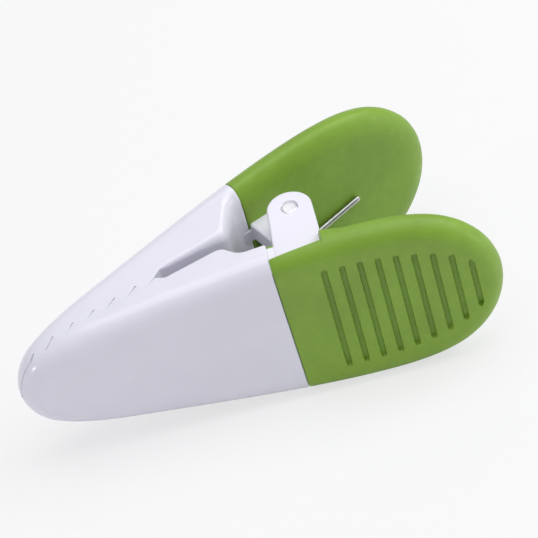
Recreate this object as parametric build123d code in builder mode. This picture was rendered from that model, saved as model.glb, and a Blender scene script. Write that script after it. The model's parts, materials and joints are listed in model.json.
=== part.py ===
from build123d import *
import os
from math import atan2, cos, degrees, hypot, pi, radians, sin, tan

# Spring bag clip: two mirror-image levers with meshing toothed jaws and soft grips, hinged on a
# steel pin that also carries a torsion spring. Millimetres. The clip stands on its side edges:
# +X runs from the nose to the handles, +Z along the hinge pin, -Y is the front lever.

# ---- levers: outline seen square to the outer face, measured along the lever from its nose ----
lever_length = 110.0
nose_radius = 11.6
nose_turn = 60.0            # how far round the nose its arc runs
shoulder_at = 25.0
shoulder_half_width = 15.7
seam_at = 61.9              # where the white jaw ends and the grip begins
seam_half_width = 20.8
grip_flare = 0.9            # the grip's widest place beyond the seam's half width
widest_from_tail = 31.0
tail_radius = 20.6
tail_turn = 70.0

# ---- levers: section ----
half_angle = 13.4           # each outer face to the mid-plane
nose_offset = 1.95          # outer face line to the mid-plane at the nose
jaw_crown = 1.85            # the jaw's outer face bows out this much at the nose
edge_radius = 4.6           # outer edge, all round
side_lean = 5.0             # side walls lean in towards the mid-plane
handle_thickness = 7.4
inner_edge_radius = 2.6
seam_bevel = 0.25

# ---- jaws: teeth, gap and rear hollow ----
mating_offset = -1.15       # mating line to the mid-plane: the front jaw is the thinner one
tooth_start = 6.3
tooth_pitch = 5.2
tooth_rise = 2.85           # length of a tooth's nose-side flank
tooth_height = 1.9
tooth_count = 6
last_flank = 2.0            # the last tooth is cut off short, where the gap begins
jaw_clearance = 0.12        # between the closed jaws
gap_half_height = 1.3
hollow_slope = 46.0         # the hollow's front, against the outer face
front_hollow_foot = 55.2    # where that slope meets the hollow's floor
rear_hollow_foot = 59.0
hollow_radius = 4.5
jaw_back_thickness = 7.4
crest_radius = 2.2
gap_edge_radius = 1.2

# ---- hinge ----
pin_at = 70.1               # from the nose along the mid-plane
pin_radius = 1.82
pin_clearance = 0.04
pin_chamfer = 0.2
pin_recess = 0.1            # below the ear's outer face
ear_radius = 5.1
ear_outer = 19.4            # from the mid-width to the ear's outer face
ear_inner = 11.0
ear_wall = 1.8
ear_side_clearance = 0.3    # ear to rear lug
ear_root_height = 7.0       # the web between the jaw's end and the ear
lug_thickness = 4.8
boss_wall = 1.5

# ---- grips ----
grip_skin = 1.6             # over the lever's core, outer and inner
grip_side = 2.4
ear_lip_height = 4.5        # the grip's edge outside the ear
ear_lip_clearance = 0.3
groove_count = 9
groove_width = 1.2
groove_depth = 0.7
first_groove = 10.0         # behind the seam
last_groove = 6.5           # ahead of the tail
groove_margin = 7.4         # groove ends to the grip's widest edge
groove_field_lead = 2.1     # the longest groove's place behind the first
groove_field_tail = 2.1
groove_power = 2.3          # how square the field's end is

# ---- torsion spring ----
wire_radius = 0.55
coil_inner_radius = 2.3
coil_turns = 3              # full turns, besides the part turn between the legs
coil_gap = 0.08             # between neighbouring turns
coil_side = 1.0             # the coil's middle to the mid-width
leg_reach = 89.7            # leg tip, along its lever
leg_bend_at = 77.5
leg_bend_radius = 3.0
leg_clearance = 0.1         # wire to the grip's inner face
leg_return = 1.1            # the legs lean this much back over the coil
boss_gap = 0.3              # coil to the boss beside it

near = 0.01                 # places this close together count as one
far = 2 * lever_length      # well outside the clip


# ---- frames ----
angle = radians(half_angle)
lean = tan(radians(side_lean))


class Lever:
    # One lever's own planes: its side view, its outer face, and its section at the seam.
    def __init__(self, hand, hollow_foot):
        self.hand = hand
        self.hollow_foot = hollow_foot
        along = (cos(angle), hand * sin(angle), 0)
        inward = (sin(angle), -hand * cos(angle), 0)
        start = (0, hand * nose_offset, 0)
        self.side = Plane(origin=start, x_dir=along, z_dir=(0, 0, -hand))
        self.face = Plane(origin=start, x_dir=along, z_dir=inward)
        self.seam = Plane(origin=self.side.from_local_coords((seam_at, 0, 0)), z_dir=along)

    def place(self, shape):
        # The middle of an edge: X along the lever, Y in from its outer face, Z across.
        return self.side.to_local_coords(shape.center())


front = Lever(-1, front_hollow_foot)
rear = Lever(1, rear_hollow_foot)

widest_half_width = seam_half_width + grip_flare

# the pin, seen in either lever's side view
pin_along = pin_at * cos(angle) - nose_offset * sin(angle)
pin_height = pin_at * sin(angle) + nose_offset * cos(angle)
pin_length = 2 * (ear_outer - pin_recess)
lug_outer = ear_inner - ear_side_clearance
lug_inner = lug_outer - lug_thickness

# the last tooth's foot and the place where both jaws have left the teeth
last_root = tooth_start + tooth_count * tooth_pitch - tooth_rise
tooth_end = last_root + tooth_rise

# the spring: where the rear leg leaves the coil, seen along the pin
coil_radius = coil_inner_radius + wire_radius
coil_pitch = 2 * wire_radius + coil_gap
leg_height = handle_thickness + leg_clearance + wire_radius
bend_along = leg_bend_at - pin_along
bend_drop = pin_height - leg_height
bend_distance = hypot(bend_along, bend_drop)
leg_run = (bend_distance**2 - coil_radius**2) ** 0.5
take_off = angle + atan2(bend_drop, bend_along) + atan2(leg_run, coil_radius)
coil_height = coil_pitch * (coil_turns + 1 - take_off / pi)
coil_end = coil_height / 2 + wire_radius + coil_side


# ---- shared shapes ----
def lever_outline(grow):
    # The plan form, grown all round.
    nose_end = radians(nose_turn)
    tail_end = radians(tail_turn)
    tail_centre = lever_length - tail_radius

    def on_nose(turn):
        reach = nose_radius + grow
        return (nose_radius - reach * cos(turn), reach * sin(turn))

    def on_tail(turn):
        reach = tail_radius + grow
        return (tail_centre + reach * cos(turn), reach * sin(turn))

    with BuildLine() as plan:
        ThreePointArc(on_nose(0), on_nose(nose_end / 2), on_nose(nose_end))
        Spline(
            on_nose(nose_end),
            (shoulder_at, shoulder_half_width + grow),
            (seam_at, seam_half_width + grow),
            (lever_length - widest_from_tail, widest_half_width + grow),
            on_tail(tail_end),
            tangents=[(sin(nose_end), cos(nose_end)), (sin(tail_end), -cos(tail_end))],
        )
        ThreePointArc(on_tail(tail_end), on_tail(tail_end / 2), on_tail(0))
        mirror(about=Plane.XZ)
    make_face(plan.edges())


def shape_lever(lever):
    # The whole lever from the nose to the tail, up to beyond the mid-plane.
    bottom = -jaw_crown - edge_radius
    top = pin_height + ear_radius
    with BuildSketch(lever.face.offset(bottom)) as wide:
        lever_outline(lean * (edge_radius - bottom))
    with BuildSketch(lever.face.offset(top)) as narrow:
        lever_outline(lean * (edge_radius - top))
    loft([wide.sketch, narrow.sketch], ruled=True)
    with BuildSketch(lever.side) as side_form:
        with BuildLine() as outline:
            # the bow is flat at the seam, so a quarter of it is left halfway
            ThreePointArc((0, -jaw_crown), (seam_at / 2, -jaw_crown / 4), (seam_at, 0))
            Polyline((seam_at, 0), (far, 0), (far, far), (-far, far), (-far, -jaw_crown), (0, -jaw_crown))
        make_face(outline.edges())
    extrude(side_form.sketch, amount=far, both=True, mode=Mode.INTERSECT)
    fillet([e for e in edges() if lever.place(e).Y < near], edge_radius)


def parting_line(hand):
    # The closed jaws' mating line: teeth, then the gap behind them.
    half = tooth_height / 2
    points = [(-far, 0), (tooth_start - tooth_rise / 2, 0)]
    for index in range(tooth_count):
        crest = tooth_start + index * tooth_pitch
        points += [(crest, half), (crest + tooth_pitch - tooth_rise, -half)]
    if hand < 0:
        cut_height = last_flank * tooth_height / tooth_rise - half
        cut_at = last_root + last_flank
        fall = (cut_height + gap_half_height) * (tooth_pitch - tooth_rise) / tooth_height
        return points + [(cut_at, cut_height), (cut_at + fall, -gap_half_height), (far, -gap_half_height)]
    climb = (gap_half_height + half) * tooth_rise / tooth_height
    return points + [(last_root + climb, gap_half_height), (far, gap_half_height)]


def open_jaw(lever):
    # Cuts the lever back to its mating line, then hollows it behind the gap.
    seat = mating_offset + lever.hand * jaw_clearance / 2
    beyond = -lever.hand * far
    with BuildSketch(Plane.XY) as other_side:
        line = [(x, y + seat) for x, y in parting_line(lever.hand)]
        with BuildLine() as outline:
            Polyline(*line, (far, beyond), (-far, beyond), close=True)
        make_face(outline.edges())
    extrude(other_side.sketch, amount=far, both=True, mode=Mode.SUBTRACT)
    foot = (lever.hollow_foot, jaw_back_thickness)
    with BuildSketch(lever.side) as hollow:
        with BuildLine() as outline:
            rise = PolarLine(foot, far, 180 - hollow_slope)
            Polyline(foot, (foot[0] + far, foot[1]), (foot[0] + far, far), rise @ 1)
        make_face(outline.edges())
        fillet(hollow.vertices().sort_by_distance(foot)[0], hollow_radius)
    extrude(hollow.sketch, amount=far, both=True, mode=Mode.SUBTRACT)


def crest_edge(lever):
    # The jaw's highest edge, where the gap drops into the hollow.
    return edges().filter_by(Axis.Z).sort_by(lambda e: lever.place(e).Y)[-1]


def gap_edges(lever):
    # The edges of the gap and the hollow along the two side walls.
    below = (edge_radius + jaw_back_thickness) / 2
    inner = [e for e in edges() if abs(e.center().Z) > near and lever.place(e).Y > below]
    return [e for e in inner if e.center().X > tooth_end and lever.place(e).X < seam_at - near]


def seam_edges(lever):
    return [e for e in edges() if abs(lever.place(e).X - seam_at) < near]


def both_sides(lever, inner, outer):
    # Two planes, so that one profile becomes a plate on each side of the mid-width.
    return lever.side.offset(inner), lever.side.offset(-outer)


def shape_core(lever):
    # The stiff tongue inside the grip.
    with BuildSketch(lever.face.offset(grip_skin)) as tongue:
        lever_outline(-grip_side)
        with Locations((seam_at - edge_radius, 0)):
            Rectangle(far, far, align=(Align.MIN, Align.CENTER), mode=Mode.INTERSECT)
    extrude(tongue.sketch, amount=handle_thickness - 2 * grip_skin)


def shape_ears(lever, inner, outer):
    # A round-topped plate on each side, from the tongue up to the pin.
    with BuildSketch(*both_sides(lever, inner, outer)) as ears:
        with Locations((pin_along, pin_height)):
            Circle(ear_radius)
        with Locations((pin_along, grip_skin)):
            Rectangle(2 * ear_radius, pin_height - grip_skin, align=(Align.CENTER, Align.MIN))
    extrude(ears.sketch, amount=outer - inner)


def shape_bosses(lever, inner, outer):
    # A round collar on each side about the pin.
    with BuildSketch(*both_sides(lever, inner, outer)) as bosses:
        with Locations((pin_along, pin_height)):
            Circle(pin_radius + boss_wall)
    extrude(bosses.sketch, amount=outer - inner)


def core_out(lever, inner, outer):
    # Cores an ear or lug out from the inside, leaving walls and a collar round the pin.
    low = handle_thickness + ear_wall
    with BuildSketch(*both_sides(lever, inner, outer)) as pockets:
        with Locations((pin_along, low)):
            Rectangle(2 * (ear_radius - ear_wall), pin_height - low, align=(Align.CENTER, Align.MIN))
        with Locations((pin_along, pin_height)):
            Circle(pin_radius + boss_wall, mode=Mode.SUBTRACT)
    extrude(pockets.sketch, amount=outer - inner, mode=Mode.SUBTRACT)


def drill_bore():
    # The pin's bore, right across.
    with Locations((pin_at, 0, 0)):
        Cylinder(pin_radius + pin_clearance, far, mode=Mode.SUBTRACT)


def shape_jaw(lever):
    # The white toothed half of a lever, from the nose to the seam.
    shape_lever(lever)
    split(bisect_by=lever.seam, keep=Keep.BOTTOM)
    open_jaw(lever)
    fillet(crest_edge(lever), crest_radius)
    fillet(gap_edges(lever), gap_edge_radius)
    chamfer(seam_edges(lever), seam_bevel)


def cut_grooves(lever):
    # Grooves across the outer face, with their ends on a rounded outline like the tail's.
    start = seam_at + first_groove
    end = lever_length - last_groove
    centre = start + groove_field_lead
    reach = lever_length - groove_field_tail - centre
    with BuildSketch(lever.face) as grooves:
        for index in range(groove_count):
            along = start + (end - start) * index / (groove_count - 1)
            share = 1 - (abs(along - centre) / reach) ** groove_power
            half = (widest_half_width - groove_margin) * share ** (1 / groove_power)
            with Locations((along, 0)):
                SlotOverall(2 * half, groove_width, rotation=90)
    extrude(grooves.sketch, amount=groove_depth, mode=Mode.SUBTRACT)


def shape_grip(lever):
    # The soft cover round the handle, before its core is taken out.
    shape_lever(lever)
    split(bisect_by=lever.seam, keep=Keep.TOP)
    with BuildSketch(lever.side) as above:
        with Locations((0, handle_thickness)):
            Rectangle(2 * far, far, align=(Align.CENTER, Align.MIN))
    extrude(above.sketch, amount=far, both=True, mode=Mode.SUBTRACT)
    rim = [e for e in edges() if abs(lever.place(e).Y - handle_thickness) < near]
    fillet([e for e in rim if lever.place(e).X > seam_at + near], inner_edge_radius)
    chamfer(seam_edges(lever), seam_bevel)
    cut_grooves(lever)


# ---- front lever ----
with BuildPart() as front_core:
    shape_core(front)
    shape_ears(front, ear_inner, ear_outer)
    # low webs join the jaw's end to the ears
    with BuildSketch(*both_sides(front, ear_inner, ear_outer)) as webs:
        with Locations((seam_at - edge_radius, grip_skin)):
            web_length = pin_along - seam_at + edge_radius
            Rectangle(web_length, ear_root_height - grip_skin, align=(Align.MIN, Align.MIN))
    extrude(webs.sketch, amount=ear_outer - ear_inner)

with BuildPart() as front_jaw:
    shape_jaw(front)
    add(front_core.part)
    core_out(front, ear_inner, ear_outer - ear_wall)
    drill_bore()

with BuildPart() as front_grip:
    shape_grip(front)
    add(front_core.part, mode=Mode.SUBTRACT)
    # the lip outside each ear is lower than the rest of the edge
    with BuildSketch(*both_sides(front, ear_outer, far)) as lips:
        with Locations((pin_along + ear_radius + ear_lip_clearance, ear_lip_height)):
            Rectangle(far, far, align=(Align.MAX, Align.MIN))
    extrude(lips.sketch, amount=far - ear_outer, mode=Mode.SUBTRACT)

# ---- rear lever ----
with BuildPart() as rear_core:
    shape_core(rear)
    shape_ears(rear, lug_inner, lug_outer)

with BuildPart() as rear_jaw:
    shape_jaw(rear)
    add(rear_core.part)
    core_out(rear, lug_inner, lug_outer - ear_wall)
    shape_bosses(rear, coil_end + boss_gap, lug_inner)
    drill_bore()

with BuildPart() as rear_grip:
    shape_grip(rear)
    add(rear_core.part, mode=Mode.SUBTRACT)

# ---- hinge pin ----
with BuildPart() as pivot_pin:
    with Locations((pin_at, 0, 0)):
        Cylinder(pin_radius, pin_length)
    chamfer(edges().filter_by(GeomType.CIRCLE), pin_chamfer)

# ---- torsion spring ----
coil_start = Location((pin_at, 0, coil_side - coil_height / 2), (0, 0, degrees(take_off)))
coil = coil_start * Helix(coil_pitch, coil_height, coil_radius)

with BuildPart() as torsion_spring:
    # each leg runs straight off the coil, then bends to lie along its lever's inner face
    for lever, end in ((rear, 0), (front, 1)):
        way = (coil % end) * (2 * end - 1)
        bend = coil @ end + way * leg_run
        tip_side = (coil @ end).Z - (2 * end - 1) * leg_return
        tip = lever.side.from_local_coords((leg_reach, leg_height, -lever.hand * tip_side))
        leg_plane = Plane(coil @ end, x_dir=way, z_dir=way.cross(tip - bend))
        corners = [leg_plane.to_local_coords(point) for point in (coil @ end, bend, tip)]
        with BuildLine(leg_plane) as leg:
            FilletPolyline(*[(point.X, point.Y) for point in corners], radius=leg_bend_radius)
        with BuildSketch(Plane(coil @ end, z_dir=way)) as section:
            Circle(wire_radius)
        sweep(section.sketch, path=leg.line)
    with BuildSketch(Plane(coil @ 0, z_dir=coil % 0)) as section:
        Circle(wire_radius)
    sweep(section.sketch, path=coil, is_frenet=True)

# ---- hand over, with the origin under the middle of the clip ----
pieces = [front_jaw, rear_jaw, front_grip, rear_grip, pivot_pin, torsion_spring]
size = Compound([piece.part for piece in pieces]).bounding_box()
for piece in pieces:
    piece.part.location = Location((-(size.min.X + size.max.X) / 2, 0, -size.min.Z))
os.makedirs("parts", exist_ok=True)

front_jaw.part.label = "front_jaw"
export_step(front_jaw.part, "parts/front_jaw.step")

rear_jaw.part.label = "rear_jaw"
export_step(rear_jaw.part, "parts/rear_jaw.step")

front_grip.part.label = "front_grip"
export_step(front_grip.part, "parts/front_grip.step")

rear_grip.part.label = "rear_grip"
export_step(rear_grip.part, "parts/rear_grip.step")

pivot_pin.part.label = "pivot_pin"
export_step(pivot_pin.part, "parts/pivot_pin.step")

torsion_spring.part.label = "torsion_spring"
export_step(torsion_spring.part, "parts/torsion_spring.step")
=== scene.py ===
import json
from math import acos, atan2, cos, exp, hypot, pi, radians, sin, sqrt, tan

import bmesh
import bpy
import numpy as np
from mathutils import Matrix, Vector


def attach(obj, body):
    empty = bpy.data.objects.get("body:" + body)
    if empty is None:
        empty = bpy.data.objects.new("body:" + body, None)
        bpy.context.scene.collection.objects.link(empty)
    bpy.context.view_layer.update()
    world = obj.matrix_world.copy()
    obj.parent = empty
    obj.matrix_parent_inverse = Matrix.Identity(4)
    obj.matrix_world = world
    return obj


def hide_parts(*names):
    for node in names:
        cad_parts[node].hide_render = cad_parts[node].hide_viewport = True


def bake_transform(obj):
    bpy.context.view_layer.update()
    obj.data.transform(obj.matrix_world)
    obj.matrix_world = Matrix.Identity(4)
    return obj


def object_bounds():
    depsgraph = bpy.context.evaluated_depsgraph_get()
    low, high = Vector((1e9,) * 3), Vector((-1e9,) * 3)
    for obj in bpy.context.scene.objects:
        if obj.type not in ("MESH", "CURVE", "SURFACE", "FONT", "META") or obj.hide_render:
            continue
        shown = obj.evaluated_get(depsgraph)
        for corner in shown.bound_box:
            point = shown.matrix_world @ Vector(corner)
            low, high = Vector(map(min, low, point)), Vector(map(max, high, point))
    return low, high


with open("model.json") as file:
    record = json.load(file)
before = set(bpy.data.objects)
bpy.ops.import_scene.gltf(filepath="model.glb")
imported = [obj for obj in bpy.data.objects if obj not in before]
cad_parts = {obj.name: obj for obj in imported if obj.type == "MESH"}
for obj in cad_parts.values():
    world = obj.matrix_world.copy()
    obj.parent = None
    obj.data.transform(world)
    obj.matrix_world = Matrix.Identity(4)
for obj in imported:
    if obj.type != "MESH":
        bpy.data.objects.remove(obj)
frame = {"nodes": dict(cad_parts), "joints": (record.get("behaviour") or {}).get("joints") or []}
cadLow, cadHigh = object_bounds()

mm = 0.001
middle = (cadLow + cadHigh) / 2
hinge = Vector(frame["joints"][0]["pos_m"])
print("frame loaded, hinge at", tuple(round(c, 4) for c in hinge))


# both levers, in millimetres and degrees
# a lever has its own frame: along from the nose, inward from the outer face, and across
# hand is -1 for the front lever and 1 for the rear one
lever = {
    "length": 110.0,
    "seam": 61.9,               # white jaw ends, soft grip begins
    "seamTrim": 0.45,           # jaw and grip step in this much where they meet
    "seamRings": (0.17, 0.35),  # the step's middle and its end, from the seam
    "trimLeft": 0.2,            # share of the step at its middle
    "seamSlant": {-1: 1.1, 1: 0.0},     # towards the nose, from the lower side to the upper one
    "slantWidth": 42.0,
    "slantFade": 7.0,           # the slant dies out this far from the seam
    "pinAt": 70.1,              # along the mid-plane
    "noseOffset": 1.95,
    "halfAngle": 13.4,
    "noseRadius": 11.6,
    "noseTurn": 60.0,
    "tailRadius": 20.6,
    "tailTurn": 70.0,
    "shoulder": (25.0, 15.7),
    "seamHalfWidth": 20.8,
    "widest": (79.0, 21.66),
    "jawCrown": 1.85,
    "edgeRadius": 4.6,
    "edgeSteps": 12,
    "lean": 5.0,                # side walls lean in
    "wallShares": (0.34, 0.67, 1.0),
    "rimSteps": 8,
    "handleThickness": 7.4,
}
overcut = 1.0                   # tools reach this far past what they cut
halfAngle, lean = radians(lever["halfAngle"]), radians(lever["lean"])
pinAlong = lever["pinAt"] * cos(halfAngle) - lever["noseOffset"] * sin(halfAngle)
pinHeight = lever["pinAt"] * sin(halfAngle) + lever["noseOffset"] * cos(halfAngle)


def toRow(hand, along, inward, across):
    # from a lever's frame to the shared one
    x = along * cos(halfAngle) + inward * sin(halfAngle) - lever["pinAt"]
    y = hand * (lever["noseOffset"] + along * sin(halfAngle) - inward * cos(halfAngle))
    return hinge + Vector((x, y, across)) * mm


def toLever(hand, x, y):
    # (along, inward) of a place x from the nose along the mid-plane and y to its side
    y = hand * y - lever["noseOffset"]
    return x * cos(halfAngle) + y * sin(halfAngle), x * sin(halfAngle) - y * cos(halfAngle)


def smoothThrough(points, startWay, endWay, steps=260):
    # a curve of even curvature through the points, with its end directions given
    points = np.array(points, float)
    spans = np.linalg.norm(np.diff(points, axis=0), axis=1)
    count = len(points)
    left, right = np.zeros((count, count)), np.zeros((count, 2))
    left[0, 0] = left[-1, -1] = 1
    right[0], right[-1] = startWay, endWay
    for i in range(1, count - 1):
        before, after = 1 / spans[i - 1], 1 / spans[i]
        left[i, i - 1:i + 2] = before, 2 * (before + after), after
        right[i] = 3 * ((points[i] - points[i - 1]) * before**2 + (points[i + 1] - points[i]) * after**2)
    ways = np.linalg.solve(left, right)
    line = []
    for i in range(count - 1):
        t = np.linspace(0, 1, steps, endpoint=False)[:, None]
        line.append((2 * t**3 - 3 * t**2 + 1) * points[i] + (t**3 - 2 * t**2 + t) * spans[i] * ways[i]
                    + (3 * t**2 - 2 * t**3) * points[i + 1] + (t**3 - t**2) * spans[i] * ways[i + 1])
    return np.vstack(line)


def leverPlan(arcSteps=300):
    # half of the plan form, nose to tail, with its outward normals
    nose, tail = radians(lever["noseTurn"]), radians(lever["tailTurn"])
    noseRadius, tailRadius = lever["noseRadius"], lever["tailRadius"]
    turn = np.linspace(0, nose, arcSteps)[:-1, None]
    noseArc = np.hstack((noseRadius * (1 - np.cos(turn)), noseRadius * np.sin(turn)))
    turn = np.linspace(tail, 0, arcSteps)[:, None]
    tailArc = np.hstack((lever["length"] - tailRadius * (1 - np.cos(turn)), tailRadius * np.sin(turn)))
    noseEnd = (noseRadius * (1 - cos(nose)), noseRadius * sin(nose))
    side = smoothThrough(
        (noseEnd, lever["shoulder"], (lever["seam"], lever["seamHalfWidth"]), lever["widest"], tailArc[0]),
        (sin(nose), cos(nose)), (sin(tail), -cos(tail)))
    plan = np.vstack((noseArc, side, tailArc))
    way = np.gradient(plan, axis=0)
    way /= np.linalg.norm(way, axis=1)[:, None]
    return plan, np.stack((-way[:, 1], way[:, 0]), axis=1)


planPoints, planNormals = leverPlan()


def halfWidth(along, inset):
    # half the lever's width at a place along it, that far in from its plan form
    line = planPoints - planNormals * inset
    return float(np.interp(along, line[:, 0], line[:, 1]))


def outerFace(along):
    # the jaw's outer face bows out towards the nose
    return -lever["jawCrown"] * max(0.0, 1 - along / lever["seam"]) ** 2


def seamShift(hand, along, across):
    # how far the slanted seam and what is beside it move towards the nose
    fade = exp(-((along - lever["seam"]) / lever["slantFade"]) ** 2)
    return lever["seamSlant"][hand] * (0.5 + across / lever["slantWidth"]) * fade


def sectionSide(top, roundWide, roundDeep, crown, trim=0.0):
    # (inset, inward) points from the outer face round the edge, up the leaning wall
    # and over onto the inner face
    radius, steps = lever["edgeRadius"], lever["edgeSteps"]
    centreIn = radius / cos(lean) + tan(lean) * crown
    centreUp = crown + radius
    wallTop = top - roundDeep
    joins = min(wallTop, centreUp + radius * sin(lean))
    last = acos(max(-1.0, min(1.0, (centreUp - joins) / radius)))
    side = []
    for k in range(steps + 1):
        turn = last * k / steps
        side.append((centreIn - radius * sin(turn), centreUp - radius * cos(turn)))
    foot = side[-1][0]
    for share in lever["wallShares"]:
        up = joins + (wallTop - joins) * share
        side.append((foot + tan(lean) * (up - joins), up))
    edge = side[-1][0]
    for k in range(1, lever["rimSteps"] + 1):
        turn = pi / 2 * k / lever["rimSteps"]
        side.append((edge + roundWide * (1 - cos(turn)), top - roundDeep * (1 - sin(turn))))
    if trim:
        # in all round, but at the inner face only half as far across
        low, high = crown + trim, top - trim
        side = [(inset + trim * (1 - k / len(side) * 0.5), min(max(up, low), high))
                for k, (inset, up) in enumerate(side)]
    return side


def meshObject(name, mesh):
    data = bpy.data.meshes.new(name)
    mesh.to_mesh(data)
    mesh.free()
    made = bpy.data.objects.new(name, data)
    bpy.context.scene.collection.objects.link(made)
    return made


def skinOver(mesh, rings):
    # quads from ring to ring, and a face over each end
    for first, second in zip(rings, rings[1:]):
        for i in range(len(first)):
            j = (i + 1) % len(first)
            mesh.faces.new((first[i], first[j], second[j], second[i]))
    mesh.faces.new(rings[0])
    mesh.faces.new(rings[-1])


def ringBody(name, hand, stations, endAt, outerShares, innerShares, dent=None):
    # closed skin of rings, from the seam to the rounded end of a lever half
    # a station is (place, inner face, rounding across, rounding in, trim, step), where
    # step is None or the (across, inward) place of a raised inner face behind a low rim
    seam, span = lever["seam"], abs(endAt - lever["seam"])
    mesh = bmesh.new()
    rings = []
    for place, top, roundWide, roundDeep, trim, step in stations:
        share = (place - seam) / span
        crown = outerFace(seam + share * (span - lever["edgeRadius"]))
        side = []
        for inset, up in sectionSide(top, roundWide, roundDeep, crown, trim):
            along = seam + share * (span - inset)
            side.append((along, up, max(0.0, halfWidth(along, inset))))
        start, face, edge = side[0]
        end, rim, wall = side[-1]
        wall, raised = step or (wall, rim)
        side += [(end, up, wall) for up in (rim, (rim + raised) / 2, raised)]
        outer = []
        for part in outerShares:
            across = edge * part
            sink = dent(start, across) if dent else 0.0
            outer.append((start, face + sink, across))
        inner = [(end, raised, wall * part) for part in innerShares]
        half = outer + side + inner
        ring = half + [(a, b, -c) for a, b, c in reversed(half[1:-1])]
        rings.append([mesh.verts.new(toRow(hand, a - seamShift(hand, a, c), b, c)) for a, b, c in ring])
    skinOver(mesh, rings)
    bmesh.ops.remove_doubles(mesh, verts=mesh.verts, dist=2e-6)
    bmesh.ops.dissolve_degenerate(mesh, edges=mesh.edges, dist=1e-6)
    bmesh.ops.recalc_face_normals(mesh, faces=mesh.faces)
    return meshObject(name, mesh)


def plate(name, hand, outline, low, high, rounding=0.3, steps=3):
    # a plate in the lever's side view with rounded rims
    # outline(grow) gives its (along, inward) points, grown by that much
    turns = [pi / 2 * k / steps for k in range(steps + 1)]
    levels = [(low + rounding * (1 - cos(turn)), -rounding * (1 - sin(turn))) for turn in turns]
    levels += [(low + high - z, grow) for z, grow in reversed(levels)]
    mesh = bmesh.new()
    skinOver(mesh, [[mesh.verts.new(toRow(hand, a, b, z)) for a, b in outline(grow)] for z, grow in levels])
    bmesh.ops.remove_doubles(mesh, verts=mesh.verts, dist=1e-6)
    bmesh.ops.recalc_face_normals(mesh, faces=mesh.faces)
    return meshObject(name, mesh)


def turnedPiece(name, profile, sides=96):
    # a round piece about the hinge; profile is (radius, across) pairs from end to end
    mesh = bmesh.new()
    turns = [2 * pi * i / sides for i in range(sides)]
    rings = []
    for radius, z in profile:
        places = [Vector((radius * cos(turn), radius * sin(turn), z)) for turn in turns]
        rings.append([mesh.verts.new(hinge + place * mm) for place in places])
    skinOver(mesh, rings)
    bmesh.ops.recalc_face_normals(mesh, faces=mesh.faces)
    return meshObject(name, mesh)


def roundBar(name, radius, low, high):
    return turnedPiece(name, [(radius, low), (radius, high)])


def combine(target, tool, operation="UNION"):
    # join the tool to the target or cut it out, and keep only the resulting mesh
    modifier = target.modifiers.new("combine", "BOOLEAN")
    modifier.object, modifier.operation, modifier.solver = tool, operation, "EXACT"
    bpy.context.view_layer.update()
    shaped = bpy.data.meshes.new_from_object(target.evaluated_get(bpy.context.evaluated_depsgraph_get()))
    old = target.data
    target.modifiers.clear()
    target.data = shaped
    bpy.data.meshes.remove(old)
    bpy.data.objects.remove(tool)
    return target


def shadeSoftly(target, angle=32):
    # smooth faces with edges kept where they turn sharply
    mesh = target.data
    mesh.shade_smooth()
    mesh.set_sharp_from_angle(angle=radians(angle))
    target.modifiers.new("normals", "WEIGHTED_NORMAL").keep_sharp = True
    return target


# jaws
jaw = {
    "matingOffset": -1.15,      # the mating line lies towards the front lever
    "toothStart": 6.3,
    "toothPitch": 5.2,
    "toothRise": 2.85,
    "toothHeight": 1.9,
    "toothCount": 6,
    "lastFlank": 2.0,           # the front jaw's last tooth is cut off short
    "clearance": 0.2,
    "slide": 0.42,              # the rear teeth sit a little nearer the nose
    "gapHalfHeight": {-1: 1.3, 1: 1.75},
    "hollowFoot": {-1: 55.2, 1: 59.5},
    "hollowSlope": 46.0,
    "floor": 7.4,
    "tipRounding": 0.22,        # tooth crests and roots
    "cutRounding": 0.5,
    "gapRounding": 0.8,
    "crestRounding": 2.6,
    "footRounding": 5.0,
    "edgeSoftness": {           # (along, rounding across, rounding in) of the inner edge
        -1: ((0.0, 0.22, 0.2), (33.5, 0.3, 0.25), (37.5, 0.8, 0.7), (47.0, 1.1, 1.0), (61.9, 1.1, 1.0)),
        1: ((0.0, 0.22, 0.2), (37.0, 0.3, 0.25), (38.8, 1.1, 1.0), (47.0, 1.6, 1.35),
            (52.5, 2.6, 2.0), (57.0, 4.4, 2.9), (61.9, 6.2, 3.1)),
    },
    "overrun": (5.0, 9.0),      # the mating line goes on past the nose and the seam
    "cornerShare": 0.45,        # a corner's arc takes at most this share of each side
    "noseFlat": 0.5,            # a place before the first tooth
    "noseRingTurn": 4,          # degrees between the rings of the nose
    "ringStart": 6.6,
    "ringStep": 1.5,
    "ringClearance": 0.12,      # even rings keep this far from a corner's ring
    "ringMargins": (0.3, 0.5),  # and corners' rings from the nose and the seam
    "faceParts": 8,
}


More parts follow.
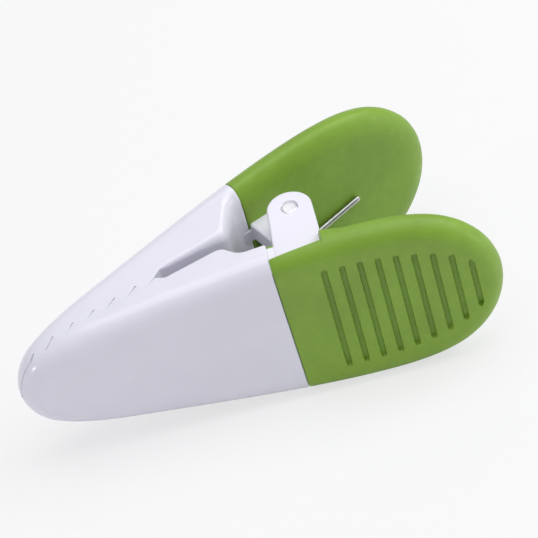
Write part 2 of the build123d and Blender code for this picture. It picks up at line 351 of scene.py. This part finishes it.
def matingLine(hand):
    # corners of the jaw's inner edge as (along, inward, rounding), from the nose to the seam
    pitch, rise, height = jaw["toothPitch"], jaw["toothRise"], jaw["toothHeight"]
    half, gap, tip = height / 2, jaw["gapHalfHeight"][hand], jaw["tipRounding"]
    before, behind = jaw["overrun"]
    points = [(-before, 0.0, 0), (jaw["toothStart"] - rise / 2, 0.0, tip)]
    for index in range(jaw["toothCount"]):
        crest = jaw["toothStart"] + index * pitch
        root = crest + pitch - rise
        points += [(crest, half, tip), (root, -half, tip)]
    if hand < 0:
        cutHeight = jaw["lastFlank"] * height / rise - half
        cutAt = root + jaw["lastFlank"]
        gapStart = cutAt + (cutHeight + gap) * (pitch - rise) / height
        points += [(cutAt, cutHeight, jaw["cutRounding"]), (gapStart, -gap, jaw["gapRounding"])]
    else:
        points.append((root + (gap + half) * rise / height, gap, jaw["gapRounding"]))
    seat, slide = jaw["matingOffset"] + hand * jaw["clearance"] / 2, -hand * jaw["slide"] / 2
    line = [(*toLever(hand, x + slide, y + seat), rounding) for x, y, rounding in points]
    # the gap's floor runs on to the slope of the hollow
    foot, slope, rate = jaw["hollowFoot"][hand], tan(radians(jaw["hollowSlope"])), tan(halfAngle)
    along, inward, _ = line[-1]
    crest = (jaw["floor"] + slope * foot - inward + rate * along) / (slope + rate)
    return line + [(crest, inward + rate * (crest - along), jaw["crestRounding"]),
                   (foot, jaw["floor"], jaw["footRounding"]), (lever["seam"] + behind, jaw["floor"], 0)]


def roundCorners(line, steps=5):
    # arcs in place of the corners, as (along, inward) points
    points = [line[0][:2]]
    for (x0, y0, _), (x1, y1, radius), (x2, y2, _) in zip(line, line[1:], line[2:]):
        back, ahead = Vector((x0 - x1, y0 - y1)), Vector((x2 - x1, y2 - y1))
        corner, half = Vector((x1, y1)), back.angle(ahead) / 2
        reach = min(radius / tan(half), jaw["cornerShare"] * back.length, jaw["cornerShare"] * ahead.length)
        radius = reach * tan(half)
        middleWay = (back.normalized() + ahead.normalized()).normalized()
        centre = corner + middleWay * (radius / sin(half))
        start = corner + back.normalized() * reach - centre
        sweep = start.angle_signed(corner + ahead.normalized() * reach - centre)
        for k in range(steps + 1):
            turned = Matrix.Rotation(-sweep * k / steps, 2) @ start
            points.append(tuple(centre + turned))
    return points + [line[-1][:2]]


def jawStations(hand):
    line = np.array(roundCorners(matingLine(hand)))
    softness = np.array(jaw["edgeSoftness"][hand])
    seam = lever["seam"]

    def station(x):
        # x is on the inner face, and its ring's place is where it meets the plan form
        top = float(np.interp(x, line[:, 0], line[:, 1]))
        wide, deep = (float(np.interp(x, softness[:, 0], softness[:, k])) for k in (1, 2))
        inset = sectionSide(top, wide, deep, outerFace(x))[-1][0]
        return max(0.0, seam - (seam - x) * seam / (seam - inset)), top, wide, deep, 0.0, None

    # the nose's own section ends here
    _, wide, deep = jaw["edgeSoftness"][hand][0]
    tip = sectionSide(station(jaw["noseFlat"])[1], wide, deep, outerFace(0))[-1][0]
    # even rings, closer together round the nose, and one ring at each point of the mating line
    noseMargin, seamMargin = jaw["ringMargins"]
    turns = np.radians(np.arange(0, lever["noseTurn"] + 1, jaw["noseRingTurn"]))
    even = np.append(lever["noseRadius"] * (1 - np.cos(turns)),
                     np.arange(jaw["ringStart"], seam - seamMargin, jaw["ringStep"]))
    even = tip + even * (seam - tip) / seam
    corners = [x for x in line[:, 0] if tip + noseMargin < x < seam - seamMargin]
    clear = [x for x in even if all(abs(x - c) > jaw["ringClearance"] for c in corners)]
    trim, (half, end) = lever["seamTrim"], lever["seamRings"]
    stations = [station(x) for x in sorted(corners + clear + [seam - end])]
    top, wide, deep = stations[-1][1:4]
    return stations + [(seam - half, top, wide, deep, trim * lever["trimLeft"], None),
                       (seam, top, wide, deep, trim, None)]


def makeJaw(name, hand):
    shares = [k / jaw["faceParts"] for k in range(jaw["faceParts"])]
    return ringBody(name, hand, jawStations(hand), 0.0, shares, shares[::-1])


ears = {
    "radius": 5.1,
    "foot": 1.7,
    "outer": 19.4,
    "inner": 11.0,
    "wall": 1.8,
    "collar": 1.5,              # wall round the pin, also that of the bosses
    "webHeight": {-1: 7.0, 1: 7.7},
    "webStart": 58.6,
    "webStep": {-1: 0.12, 1: 1.5},      # in from the outer side
    "webInset": 0.05,
    "flare": 0.55,              # each side leans out towards the foot
    "rounding": 0.55,
    "countersink": 0.25,
    "lugOuter": 10.7,
    "lugInner": 5.9,
    "bossInner": 3.75,
    "bossOverlap": 0.4,
}
pin = {
    "radius": 1.82,
    "clearance": 0.05,
    "halfLength": 19.3,
    "chamfer": 0.22,
    "dome": 0.06,
}


def earOutline(grow, steps=24):
    # round about the pin, then down with sides that lean out a little
    radius, flare, foot = ears["radius"] + grow, ears["flare"], ears["foot"] - grow
    points = [(pinAlong + radius * cos(turn), pinHeight + radius * sin(turn))
              for turn in np.linspace(0, pi, steps + 1)]
    return points + [(pinAlong - radius - flare, foot), (pinAlong + radius + flare, foot)]


def pocketOutline(grow):
    # inside an ear's walls, from above the handle up to the pin
    wide, foot = ears["radius"] + grow - ears["wall"], lever["handleThickness"] + ears["wall"] - grow
    return [(pinAlong - wide, foot), (pinAlong + wide, foot), (pinAlong + wide, pinHeight),
            (pinAlong - wide, pinHeight)]


def boxOutline(low, high):
    (x0, y0), (x1, y1) = low, high
    return lambda grow: [(x0 - grow, y0 - grow), (x1 + grow, y0 - grow),
                         (x1 + grow, y1 + grow), (x0 - grow, y1 + grow)]


def boreTool():
    # the pin's bore, opened a little at the ears' outer faces
    radius, sink, end = pin["radius"] + pin["clearance"], ears["countersink"], ears["outer"]
    opened = radius + sink
    return turnedPiece("bore", [
        (opened + overcut, -end - overcut), (opened, -end), (radius, -end + sink),
        (radius, end - sink), (opened, end), (opened + overcut, end + overcut)])


def onSide(side, inner, outer):
    # from low to high across, on one side of the middle
    return sorted((side * inner, side * outer))


def makeEar(hand, inner, outer, side):
    # one cored ear or lug, with a collar round the pin
    ear = plate("ear", hand, earOutline, *onSide(side, inner, outer), ears["rounding"])
    low, high = onSide(side, inner - overcut, outer - ears["wall"])
    pocket = plate("pocket", hand, pocketOutline, low, high)
    collar = roundBar("collar", pin["radius"] + ears["collar"], low - overcut, high + overcut)
    combine(pocket, collar, "DIFFERENCE")
    return combine(ear, pocket, "DIFFERENCE")


def dressJaw(name, hand, inner, outer):
    # a jaw with its two ears or lugs, the webs that carry them, its bosses and the pin's bore
    target = makeJaw(name, hand)
    web = boxOutline((ears["webStart"], ears["foot"]), (pinAlong, ears["webHeight"][hand]))
    for side in (-1, 1):
        combine(target, makeEar(hand, inner, outer, side))
        low, high = onSide(side, inner + ears["webInset"], outer - ears["webStep"][hand])
        combine(target, plate("web", hand, web, low, high))
        if hand > 0:
            low, high = onSide(side, ears["bossInner"], inner + ears["bossOverlap"])
            combine(target, roundBar("boss", pin["radius"] + ears["collar"], low, high))
    combine(target, boreTool(), "DIFFERENCE")
    return shadeSoftly(target)


frontJaw = dressJaw("front_jaw_moulding", -1, ears["inner"], ears["outer"])
rearJaw = dressJaw("rear_jaw_moulding", 1, ears["lugInner"], ears["lugOuter"])
print("jaws made:", len(frontJaw.data.polygons), len(rearJaw.data.polygons))


# soft grips
grip = {
    "rimWide": 6.2,             # rounding of the inner rim, across and in
    "rimDeep": 3.1,
    "lipHeight": (2.7, 3.6),    # the front grip's low rim outside the ear: at the seam, and its end
    "lipRounding": 0.5,
    "lipClearance": 0.3,        # ear to the lip's end
    "lipInset": 0.2,            # the inner face behind the lip, in from the ear's outer side
    "lipRings": (-0.3, 0.0, 0.1, 0.5),
    "lipSoftness": 0.45,        # share of the rim's rounding that is left beside the lip
    "lipRunOut": 9.0,
    "recessStart": 0.5,         # recess under the spring, from the seam
    "recessEnd": 5.2,
    "recessDepth": 4.0,
    "recessHalf": {-1: 10.6, 1: 5.7},
    "recessRounding": 0.2,
    "grooveCount": 9,
    "grooveFirst": 71.9,
    "grooveLast": 103.5,
    "grooveWidth": 1.2,
    "grooveFlat": 0.4,          # half of its floor
    "grooveWall": 0.36,         # floor to face, seen square to the face
    "grooveDepth": 1.0,
    "grooveRings": (0, 0.3, 0.45, 0.54, 0.6, 0.66, 0.75, 0.9),      # to either side of its middle
    "grooveReach": 14.45,
    "grooveShift": 0.45,        # across
    "fieldLead": 2.1,           # the grooves' ends lie on a squarish oval
    "fieldTail": 3.8,
    "fieldPower": 2.2,
    "ringStart": 1.2,           # after the seam
    "ringEnd": 106.0,
    "ringStep": 1.4,
    "ringClearance": 0.3,
    "tailTurn": 36,             # the tail's rings, in degrees of its arc
    "tailStep": 3,
    "outerShares": [0, 0.15] + [0.3 + 0.02 * k for k in range(33)] + [0.97],
    "innerShares": [k / 6 for k in range(5, -1, -1)],
}


def grooveRow():
    # (along, reach to either side) of each groove
    first, last, power = grip["grooveFirst"], grip["grooveLast"], grip["fieldPower"]
    centre = first + grip["fieldLead"]
    far = lever["length"] - grip["fieldTail"] - centre
    row = []
    for number in range(grip["grooveCount"]):
        at = first + (last - first) * number / (grip["grooveCount"] - 1)
        share = 1 - (abs(at - centre) / far) ** power
        row.append((at, grip["grooveReach"] * share ** (1 / power)))
    return row


grooves = grooveRow()


def grooveDepth(along, across):
    depth = 0.0
    for at, reach in grooves:
        pastEnd = max(0.0, abs(across - grip["grooveShift"]) - reach + grip["grooveWidth"] / 2)
        away = hypot(along - at, pastEnd)
        step = min(1.0, max(0.0, (away - grip["grooveFlat"]) / grip["grooveWall"]))
        depth = max(depth, grip["grooveDepth"] * (1 - step * step * (3 - 2 * step)))
    return depth


def gripPlaces(hand, lipEnd):
    # where its rings stand: close together at the grooves, the end of the lip and the tail
    seam, length = lever["seam"], lever["length"]
    span = length - seam
    edge = sectionSide(lever["handleThickness"], grip["rimWide"], grip["rimDeep"], 0.0)[0][0]
    rows = [at + way * off for at, _ in grooves for off in grip["grooveRings"] for way in (-1, 1)]
    places = [seam + (row - seam) * span / (span - edge) for row in rows]
    turns = np.radians(np.arange(0, grip["tailTurn"] + 1, grip["tailStep"]))
    even = list(np.arange(seam + grip["ringStart"], grip["ringEnd"], grip["ringStep"]))
    even += list(length - lever["tailRadius"] * (1 - np.cos(turns)))
    places += [x for x in even if all(abs(x - p) > grip["ringClearance"] for p in places)]
    if hand < 0:
        places += [lipEnd + off for off in grip["lipRings"]]
    return [seam + lever["seamRings"][1]] + sorted(set(places))


def makeGrip(name, hand):
    seam, top = lever["seam"], lever["handleThickness"]
    wide, deep, rounding = grip["rimWide"], grip["rimDeep"], grip["lipRounding"]
    lipEnd = pinAlong + ears["radius"] + grip["lipClearance"] if hand < 0 else 0.0

    def station(place, trim=0.0):
        if place > lipEnd:
            soft = min(1.0, grip["lipSoftness"] + (place - lipEnd) / grip["lipRunOut"])
            return place, top, wide * soft, deep * soft, trim, None
        low = np.interp(place, (seam, lipEnd), grip["lipHeight"])
        return place, low, rounding, rounding, trim, (ears["outer"] - grip["lipInset"], top)

    trim = lever["seamTrim"]
    stations = [station(seam, trim), station(seam + lever["seamRings"][0], trim * lever["trimLeft"])]
    stations += [station(place) for place in gripPlaces(hand, lipEnd)]
    made = ringBody(name, hand, stations, lever["length"], grip["outerShares"], grip["innerShares"],
                    grooveDepth)
    half = grip["recessHalf"][hand]
    box = boxOutline((seam + grip["recessStart"], top - grip["recessDepth"]),
                     (seam + grip["recessEnd"], top + 2 * overcut))
    combine(made, plate("recess", hand, box, -half, half, grip["recessRounding"]), "DIFFERENCE")
    return shadeSoftly(made)


frontGrip = makeGrip("front_grip_cover", -1)
rearGrip = makeGrip("rear_grip_cover", 1)
print("grips made:", len(frontGrip.data.polygons), len(rearGrip.data.polygons))


def makePin(domeSteps=8, edgeAngle=40):
    # a rod with chamfered, slightly domed ends
    radius, end, chamfer, dome = pin["radius"], pin["halfLength"], pin["chamfer"], pin["dome"]
    rim = [(radius * k / domeSteps, end - dome * (k / domeSteps) ** 2) for k in range(1, domeSteps - 1)]
    rim += [(radius - chamfer, end - dome)]
    rim += [(radius - chamfer * (1 - sin(turn)), end - dome - chamfer * (1 - cos(turn)))
            for turn in np.radians((22, 45, 68, 90))]
    return shadeSoftly(turnedPiece("pin_rod", rim + [(r, -z) for r, z in reversed(rim)]), edgeAngle)


pinRod = makePin()
print("pin made")


# torsion spring
spring = {
    "wireRadius": 0.66,
    "coilRadius": 2.85,
    "pitch": 1.34,
    "turns": 3,
    "side": 0.75,               # the coil's middle to the mid-width
    "reach": 89.7,
    "bendAt": 77.5,
    "bendRadius": 3.0,
    "clearance": 0.1,
    "return": 1.1,              # the legs lean back over the coil
    "lip": 0.25,                # of the wire's radius, where its ends are cut
    "uvStep": 0.04,             # along the wire, from ring to ring
    "coilSteps": 150,
    "bendSteps": 10,
    "legSteps": 8,
}


def tube(name, path, radius, sides=16, edgeAngle=40):
    # wire along the path, with UVs along and round it for its drawing marks
    path = [Vector(point) for point in path]
    lip = spring["lip"] * radius
    cutEnd = [(radius - lip, 0.0), (radius - 0.3 * lip, 0.3 * lip), (radius, lip)]
    mesh = bmesh.new()
    uv = mesh.loops.layers.uv.new("wire")
    rings, normal = [], None
    for i, point in enumerate(path):
        way = (path[min(i + 1, len(path) - 1)] - path[max(i - 1, 0)]).normalized()
        outwards = way.orthogonal() if normal is None else normal - way * normal.dot(way)
        normal = outwards.normalized()
        side = way.cross(normal)
        sizes, intoWire = [(radius, 0.0)], way
        if i == 0:
            sizes = cutEnd
        elif i == len(path) - 1:
            sizes, intoWire = cutEnd[::-1], -way
        for size, back in sizes:
            centre = point + intoWire * back
            rings.append([mesh.verts.new(centre + normal * cos(2 * pi * k / sides) * size
                                         + side * sin(2 * pi * k / sides) * size) for k in range(sides)])
    for j, (first, second) in enumerate(zip(rings, rings[1:])):
        for k in range(sides):
            beside = (k + 1) % sides
            face = mesh.faces.new((first[k], first[beside], second[beside], second[k]))
            for loop, (row, turn) in zip(face.loops, ((j, k), (j, k + 1), (j + 1, k + 1), (j + 1, k))):
                loop[uv].uv = (row * spring["uvStep"], turn / sides)
    mesh.faces.new(rings[0])
    mesh.faces.new(rings[-1])
    bmesh.ops.recalc_face_normals(mesh, faces=mesh.faces)
    return shadeSoftly(meshObject(name, mesh), edgeAngle)


def springLeg(start, way, run, tip):
    # straight off the coil, round a bend, and straight on to the tip
    bend = start + way * run
    onward = (tip - bend).normalized()
    half = (way * -1).angle(onward) / 2
    cut = spring["bendRadius"] / tan(half)
    centre = bend + (onward - way).normalized() * (spring["bendRadius"] / sin(half))
    bendStart, bendEnd = bend - way * cut, bend + onward * cut
    first, last = bendStart - centre, bendEnd - centre
    axis, sweep = first.cross(last).normalized(), first.angle(last)
    steps, bendSteps = spring["legSteps"], spring["bendSteps"]
    leg = [start + (bendStart - start) * k / steps for k in range(steps)]
    leg += [centre + Matrix.Rotation(sweep * k / bendSteps, 3, axis) @ first for k in range(bendSteps + 1)]
    return leg + [bendEnd + (tip - bendEnd) * k / steps for k in range(1, steps + 1)]


def springPaths():
    # the coil, then the rear and the front leg, which lie on their grips' inner faces
    radius, pitch = spring["coilRadius"], spring["pitch"]
    legHeight = lever["handleThickness"] + spring["clearance"] + spring["wireRadius"]
    bendAlong, bendDrop = spring["bendAt"] - pinAlong, pinHeight - legHeight
    run = sqrt(bendAlong**2 + bendDrop**2 - radius**2)
    takeOff = halfAngle + atan2(bendDrop, bendAlong) + atan2(run, radius)
    height = pitch * (spring["turns"] + 1 - takeOff / pi)
    whole = 2 * pi * height / pitch

    def onCoil(turn):
        z = spring["side"] - height / 2 + pitch * turn / (2 * pi)
        return Vector((radius * cos(takeOff + turn), radius * sin(takeOff + turn), z))

    paths = [[onCoil(turn) for turn in np.linspace(0, whole, spring["coilSteps"])]]
    for hand, turn, sign in ((1, 0.0, -1), (-1, whole, 1)):
        start, turned = onCoil(turn), takeOff + turn
        way = Vector((-radius * sin(turned), radius * cos(turned), pitch / (2 * pi))).normalized() * sign
        tip = (toRow(hand, spring["reach"], legHeight, 0) - hinge) / mm
        tip.z = start.z - sign * spring["return"]
        paths.append(springLeg(start, way, run, tip))
    return [[hinge + point * mm for point in path] for path in paths]


coilPath, rearLegPath, frontLegPath = springPaths()
springCoil = tube("spring_coil", coilPath, spring["wireRadius"] * mm)
rearLeg = tube("spring_leg_rear", rearLegPath, spring["wireRadius"] * mm)
frontLeg = tube("spring_leg_front", frontLegPath, spring["wireRadius"] * mm)
print("spring made")


# materials
class Shade:
    # wraps one socket, so that shader maths reads as plain expressions
    def __init__(self, tree, socket=None):
        self.tree, self.socket = tree, socket

    def node(self, kind, settings=None, sockets=None, out=0):
        made = self.tree.nodes.new("ShaderNode" + kind)
        for key, value in (settings or {}).items():
            setattr(made, key, value)
        for key, value in (sockets or {}).items():
            if isinstance(value, Shade):
                self.tree.links.new(value.socket, made.inputs[key])
            else:
                made.inputs[key].default_value = value
        return Shade(self.tree, made.outputs[out])

    def maths(self, operation, *values):
        return self.node("Math", {"operation": operation}, dict(enumerate(values)))

    def __add__(self, other):
        return self.maths("ADD", self, other)

    def __radd__(self, other):
        return self.maths("ADD", other, self)

    def __sub__(self, other):
        return self.maths("SUBTRACT", self, other)

    def __rsub__(self, other):
        return self.maths("SUBTRACT", other, self)

    def __mul__(self, other):
        return self.maths("MULTIPLY", self, other)

    def __rmul__(self, other):
        return self.maths("MULTIPLY", other, self)

    def waves(self):
        return self.maths("SINE", self)

    def between(self, low, high):
        # 0 below low, 1 above high, smooth between
        return self.node("MapRange", {"interpolation_type": "SMOOTHSTEP"},
                         {"Value": self, "From Min": low, "From Max": high})

    def mixed(self, first, second):
        # colours, by this value
        return self.node("Mix", {"data_type": "RGBA"}, {0: self, 6: first, 7: second}, out=2)


def newMaterial(name, **constants):
    material = bpy.data.materials.new(name)
    material.use_nodes = True
    surface = material.node_tree.nodes["Principled BSDF"]
    for key, value in constants.items():
        surface.inputs[key].default_value = value
    return material, surface, Shade(material.node_tree)


def connect(shade, surface, **links):
    for key, value in links.items():
        shade.tree.links.new(value.socket, surface.inputs[key])


def objectPlace(shade):
    return shade.node("TexCoord", out="Object")


def noise(shade, where, scale, detail=3.0, roughness=0.5):
    return shade.node("TexNoise", None, {
        "Vector": where, "Scale": scale, "Detail": detail, "Roughness": roughness})


def bumped(shade, height, strength, distance, under=None):
    # the distance is in metres
    sockets = {"Height": height, "Strength": strength, "Distance": distance}
    if under:
        sockets["Normal"] = under
    return shade.node("Bump", None, sockets)


plastic = {
    "pale": (0.83, 0.82, 0.89, 1),
    "deep": (0.795, 0.785, 0.855, 1),
    "gloss": 0.2,               # roughness
    "glossChange": 0.1,
    "cloud": 45,                # texture scales, per metre
    "flow": 170,
    "rubbed": 700,
    "grain": 2600,              # of the mould's fine finish
}


def jawPlastic():
    material, surface, shade = newMaterial("jaw_plastic", IOR=1.5)
    where = objectPlace(shade)
    cloud, flow = noise(shade, where, plastic["cloud"], 2.0), noise(shade, where, plastic["flow"])
    rubbed = noise(shade, where, plastic["rubbed"], 5.0, 0.65).between(0.52, 0.78)
    tone = (cloud * 0.7 + flow * 0.3).between(0.3, 0.7)
    grain = noise(shade, where, plastic["grain"], 2.0)
    wavy = bumped(shade, flow, 0.12, 0.0004)
    smooth = plastic["gloss"] - plastic["glossChange"] / 2
    connect(shade, surface, **{
        "Base Color": tone.mixed(plastic["deep"], plastic["pale"]),
        "Roughness": flow * plastic["glossChange"] + rubbed * 0.05 + smooth,
        "Normal": bumped(shade, grain + rubbed * 0.4, 0.05, 0.0001, wavy),
    })
    return material


soft = {
    "leaf": (0.235, 0.41, 0.033, 1),
    "shade": (0.195, 0.345, 0.028, 1),
    "dull": 0.38,               # roughness
    "dullChange": 0.14,
    "cloud": 60,                # texture scales, per metre
    "patch": 420,
    "pebbles": 3400,
}


def softGrip():
    constants = {"IOR": 1.48, "Sheen Weight": 0.08, "Sheen Roughness": 0.4}
    material, surface, shade = newMaterial("soft_grip", **constants)
    where = objectPlace(shade)
    cloud, patch = noise(shade, where, soft["cloud"]), noise(shade, where, soft["patch"], 4.0, 0.6)
    pebbles = shade.node("TexVoronoi", {"feature": "SMOOTH_F1"}, {"Vector": where, "Scale": soft["pebbles"]})
    tone = (cloud * 0.65 + patch * 0.35).between(0.3, 0.68)
    rubbed = patch.between(0.5, 0.75)
    wavy = bumped(shade, cloud, 0.1, 0.0006)
    dullest = soft["dull"] + soft["dullChange"] / 2
    connect(shade, surface, **{
        "Base Color": tone.mixed(soft["shade"], soft["leaf"]),
        "Roughness": dullest - rubbed * soft["dullChange"] + pebbles * 0.05,
        "Normal": bumped(shade, pebbles, 0.14, 0.0001, wavy),
    })
    return material


steel = {
    "bright": (0.95, 0.95, 0.95, 1),
    "grey": (0.84, 0.84, 0.85, 1),
    "ringsPerMm": 9.0,          # turning marks on the pin's ends
    "ringWander": 4,
    "cloud": 600,               # texture scales, per metre
    "speck": 5200,
    "wireBright": (0.6, 0.6, 0.61, 1),
    "wireGrey": (0.36, 0.36, 0.37, 1),
    "wireCloud": 500,
    "streaks": (1.2, 26, 1),    # along the wire and round it
}


def pinSteel():
    material, surface, shade = newMaterial("pin_steel", Metallic=1.0)
    where = objectPlace(shade)
    flat = shade.node("VectorMath", {"operation": "MULTIPLY"}, {0: where, 1: (1, 1, 0)})
    axis = (hinge.x, hinge.y, 0)
    radius = shade.node("VectorMath", {"operation": "DISTANCE"}, {0: flat, 1: axis}, out="Value")
    cloud, speck = noise(shade, where, steel["cloud"]), noise(shade, where, steel["speck"], 3.0, 0.6)
    rings = (radius * (steel["ringsPerMm"] * 2 * pi / mm) + speck * steel["ringWander"]).waves()
    connect(shade, surface, **{
        "Base Color": (cloud * 0.6 + speck * 0.4).between(0.25, 0.6).mixed(steel["grey"], steel["bright"]),
        "Roughness": cloud * 0.12 + speck * 0.08 + 0.2,
        "Normal": bumped(shade, rings * 0.5 + speck, 0.12, 0.00004),
    })
    return material


def springSteel():
    # drawn wire: streaks along it
    material, surface, shade = newMaterial("spring_steel", Metallic=1.0)
    onWire = shade.node("UVMap", {"uv_map": "wire"})
    stretched = shade.node("VectorMath", {"operation": "MULTIPLY"}, {0: onWire, 1: steel["streaks"]})
    streaks = noise(shade, stretched, 1.0, 4.0, 0.7)
    cloud = noise(shade, objectPlace(shade), steel["wireCloud"])
    tone = (streaks * 0.7 + cloud * 0.3).between(0.3, 0.65)
    connect(shade, surface, **{
        "Base Color": tone.mixed(steel["wireGrey"], steel["wireBright"]),
        "Roughness": streaks * 0.16 + 0.22,
        "Normal": bumped(shade, streaks, 0.25, 0.00003),
    })
    return material


# each piece with the body it rides, the node it replaces and its finish; the coil rides no body
pieces = (
    (frontJaw, "front_lever", "front_jaw", "jaw_plastic"),
    (rearJaw, "rear_lever", "rear_jaw", "jaw_plastic"),
    (frontGrip, "front_lever", "front_grip", "soft_grip"),
    (rearGrip, "rear_lever", "rear_grip", "soft_grip"),
    (pinRod, "front_lever", "pivot_pin", "pin_steel"),
    (frontLeg, "front_lever", "torsion_spring", "spring_steel"),
    (rearLeg, "rear_lever", "torsion_spring", "spring_steel"),
    (springCoil, None, "torsion_spring", "spring_steel"),
)


def useFinish(target, material):
    target.data.materials.clear()
    target.data.materials.append(material)


def finishPieces():
    finishes = {
        "jaw_plastic": jawPlastic(),
        "soft_grip": softGrip(),
        "pin_steel": pinSteel(),
        "spring_steel": springSteel(),
    }
    for piece, body, node, finish in pieces:
        useFinish(piece, finishes[finish])
        if body:
            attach(piece, body)
        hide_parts(node)
    for _, _, node, finish in pieces:
        useFinish(frame["nodes"][node], finishes[finish])
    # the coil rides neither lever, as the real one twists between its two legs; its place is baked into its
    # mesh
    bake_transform(springCoil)


finishPieces()
print("pieces finished:", len(pieces))


# floor, lights and camera, in metres and watts
studio = {
    "floor": (0.9, 0.9, 0.9, 1),
    "floorHalf": 3.0,
    "floorGlow": 0.955,         # how the floor and the backdrop look to the camera
    "glowShare": 0.7,
    "sky": (0.325, 0.325, 0.365, 1),
    "lights": (                 # name, watts, size, from the object
        ("key", 4.2, 0.8, Vector((0.0, 0.0, 0.9))),
        ("fill", 3.3, 0.6, Vector((0.65, -0.05, 0.62))),
        ("side", 0.9, 0.25, Vector((0.85, -0.36, 0.1))),
        ("rim", 0.32, 0.3, Vector((0.12, 0.65, 0.62))),
        ("glint", 0.7, 0.085, Vector((-0.85, -0.15, 0.28))),
    ),
}


def seenDirectly(shade):
    return shade.node("LightPath", out="Is Camera Ray")


def makeFloor():
    half = studio["floorHalf"]
    mesh = bmesh.new()
    corners = ((-half, -half), (half, -half), (half, half), (-half, half))
    mesh.faces.new([mesh.verts.new((x, y, cadLow.z)) for x, y in corners])
    floor = meshObject("floor", mesh)
    constants = {"Base Color": studio["floor"], "Roughness": 0.9, "Specular IOR Level": 0.0}
    material, surface, shade = newMaterial("floor", **constants)
    glow = shade.node("Emission", None, {"Color": (1, 1, 1, 1), "Strength": studio["floorGlow"]})
    plain = Shade(shade.tree, surface.outputs[0])
    mix = shade.node("MixShader", None, {0: seenDirectly(shade) * studio["glowShare"], 1: plain, 2: glow})
    connect(shade, shade.tree.nodes["Material Output"], Surface=mix)
    floor.data.materials.append(material)


def makeLight():
    world = bpy.data.worlds.new("studio")
    bpy.context.scene.world = world
    world.use_nodes = True
    shade = Shade(world.node_tree)
    backdrop = (studio["floorGlow"],) * 3 + (1,)
    connect(shade, world.node_tree.nodes["Background"],
            Color=seenDirectly(shade).mixed(studio["sky"], backdrop))
    for name, power, size, place in studio["lights"]:
        light = bpy.data.objects.new(name, bpy.data.lights.new(name, "AREA"))
        light.data.energy, light.data.size = power, size
        light.location = middle + place
        light.rotation_euler = (-place).to_track_quat("-Z", "Y").to_euler()
        bpy.context.scene.collection.objects.link(light)


view = {
    "azimuth": 10.774,
    "elevation": 42.951,
    "roll": -16.275,
    "distance": 1.0,
    "lens": 300.9,
    "aim": Vector((-7.907, 1.462, 3.142)) * mm,   # from the hinge
}


def makeCamera():
    turn, tilt, roll = (radians(view[key]) for key in ("azimuth", "elevation", "roll"))
    ahead = Vector((sin(turn) * cos(tilt), cos(turn) * cos(tilt), -sin(tilt)))
    right = ahead.cross(Vector((0, 0, 1))).normalized()
    up = right.cross(ahead)
    rolledRight = right * cos(roll) + up * sin(roll)
    rolledUp = up * cos(roll) - right * sin(roll)
    camera = bpy.data.objects.new("camera", bpy.data.cameras.new("camera"))
    camera.data.lens = view["lens"]
    camera.data.clip_end = 10
    facing = Matrix((rolledRight, rolledUp, -ahead)).transposed()
    camera.matrix_world = Matrix.Translation(hinge + view["aim"] - ahead * view["distance"]) @ facing.to_4x4()
    bpy.context.scene.collection.objects.link(camera)
    bpy.context.scene.camera = camera


makeFloor()
makeLight()
makeCamera()
bpy.context.scene.view_settings.view_transform = "Standard"
print("floor, light and camera set")

bpy.context.view_layer.update()
